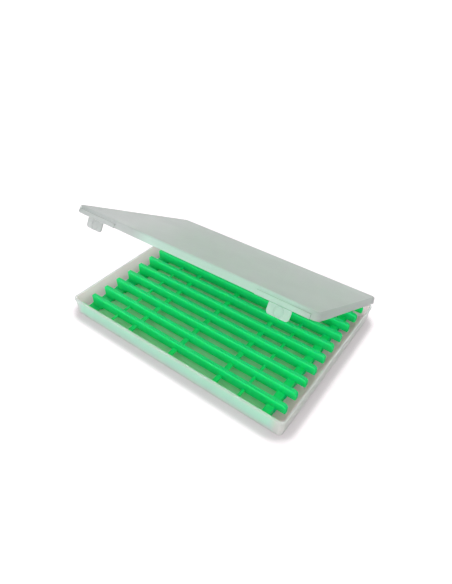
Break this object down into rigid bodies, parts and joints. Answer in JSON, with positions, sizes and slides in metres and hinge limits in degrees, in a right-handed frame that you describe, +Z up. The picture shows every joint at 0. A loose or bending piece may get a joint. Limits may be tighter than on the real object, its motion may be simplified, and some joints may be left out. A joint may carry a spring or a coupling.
{
  "type": "fishing rig box",
  "caption": "Flat hinged rig box of milky plastic: shallow tray of ladder-shaped rig winders lying side by side, half-open lid with snap latch tabs on its front edge.",
  "frame": {"origin": "middle of the tray's underside, on the surface that the box stands on", "axes": "+X along the box's length, +Y from the latch side to the hinge side, +Z up"},
  "size_m": [0.28, 0.2069, 0.1285],
  "materials": {
    "tray_polypropylene": "satin",
    "lid_polypropylene": "satin",
    "latch_polypropylene": "satin",
    "winder_green": "satin"
  },
  "bodies": {
    "tray": {"base_tray": "tray_polypropylene"},
    "lid": {"lid": "lid_polypropylene"},
    "latch_left": {"latch_left": "latch_polypropylene"},
    "latch_right": {"latch_right": "latch_polypropylene"},
    "winder_01": {"winder_01": "winder_green"},
    "winder_02": {"winder_02": "winder_green"},
    "winder_03": {"winder_03": "winder_green"},
    "winder_04": {"winder_04": "winder_green"},
    "winder_05": {"winder_05": "winder_green"},
    "winder_06": {"winder_06": "winder_green"},
    "winder_07": {"winder_07": "winder_green"},
    "winder_08": {"winder_08": "winder_green"},
    "winder_09": {"winder_09": "winder_green"},
    "winder_10": {"winder_10": "winder_green"}
  },
  "joints": [
    {"name": "lid_hinge", "type": "hinge", "parent": "tray", "child": "lid", "pos_m": [0, 0.1037, 0.0192], "axis": [-1, 0, 0], "range_deg": [-29.7, 150.3]},
    {"name": "latch_left_flex", "type": "hinge", "parent": "lid", "child": "latch_left", "pos_m": [-0.108, -0.07291, 0.12373], "axis": [-1, 0, 0], "range_deg": [0, 25], "stiffness_Nm_per_rad": 0.1},
    {"name": "latch_right_flex", "type": "hinge", "parent": "lid", "child": "latch_right", "pos_m": [0.108, -0.07291, 0.12373], "axis": [-1, 0, 0], "range_deg": [0, 25], "stiffness_Nm_per_rad": 0.1},
    {"name": "winder_01_lift", "type": "slide", "parent": "tray", "child": "winder_01", "axis": [0, 0, 1], "range_m": [0, 0.024]},
    {"name": "winder_02_lift", "type": "slide", "parent": "tray", "child": "winder_02", "axis": [0, 0, 1], "range_m": [0, 0.024]},
    {"name": "winder_03_lift", "type": "slide", "parent": "tray", "child": "winder_03", "axis": [0, 0, 1], "range_m": [0, 0.024]},
    {"name": "winder_04_lift", "type": "slide", "parent": "tray", "child": "winder_04", "axis": [0, 0, 1], "range_m": [0, 0.024]},
    {"name": "winder_05_lift", "type": "slide", "parent": "tray", "child": "winder_05", "axis": [0, 0, 1], "range_m": [0, 0.024]},
    {"name": "winder_06_lift", "type": "slide", "parent": "tray", "child": "winder_06", "axis": [0, 0, 1], "range_m": [0, 0.024]},
    {"name": "winder_07_lift", "type": "slide", "parent": "tray", "child": "winder_07", "axis": [0, 0, 1], "range_m": [0, 0.024]},
    {"name": "winder_08_lift", "type": "slide", "parent": "tray", "child": "winder_08", "axis": [0, 0, 1], "range_m": [0, 0.024]},
    {"name": "winder_09_lift", "type": "slide", "parent": "tray", "child": "winder_09", "axis": [0, 0, 1], "range_m": [0, 0.024]},
    {"name": "winder_10_lift", "type": "slide", "parent": "tray", "child": "winder_10", "axis": [0, 0, 1], "range_m": [0, 0.014]}
  ]
}
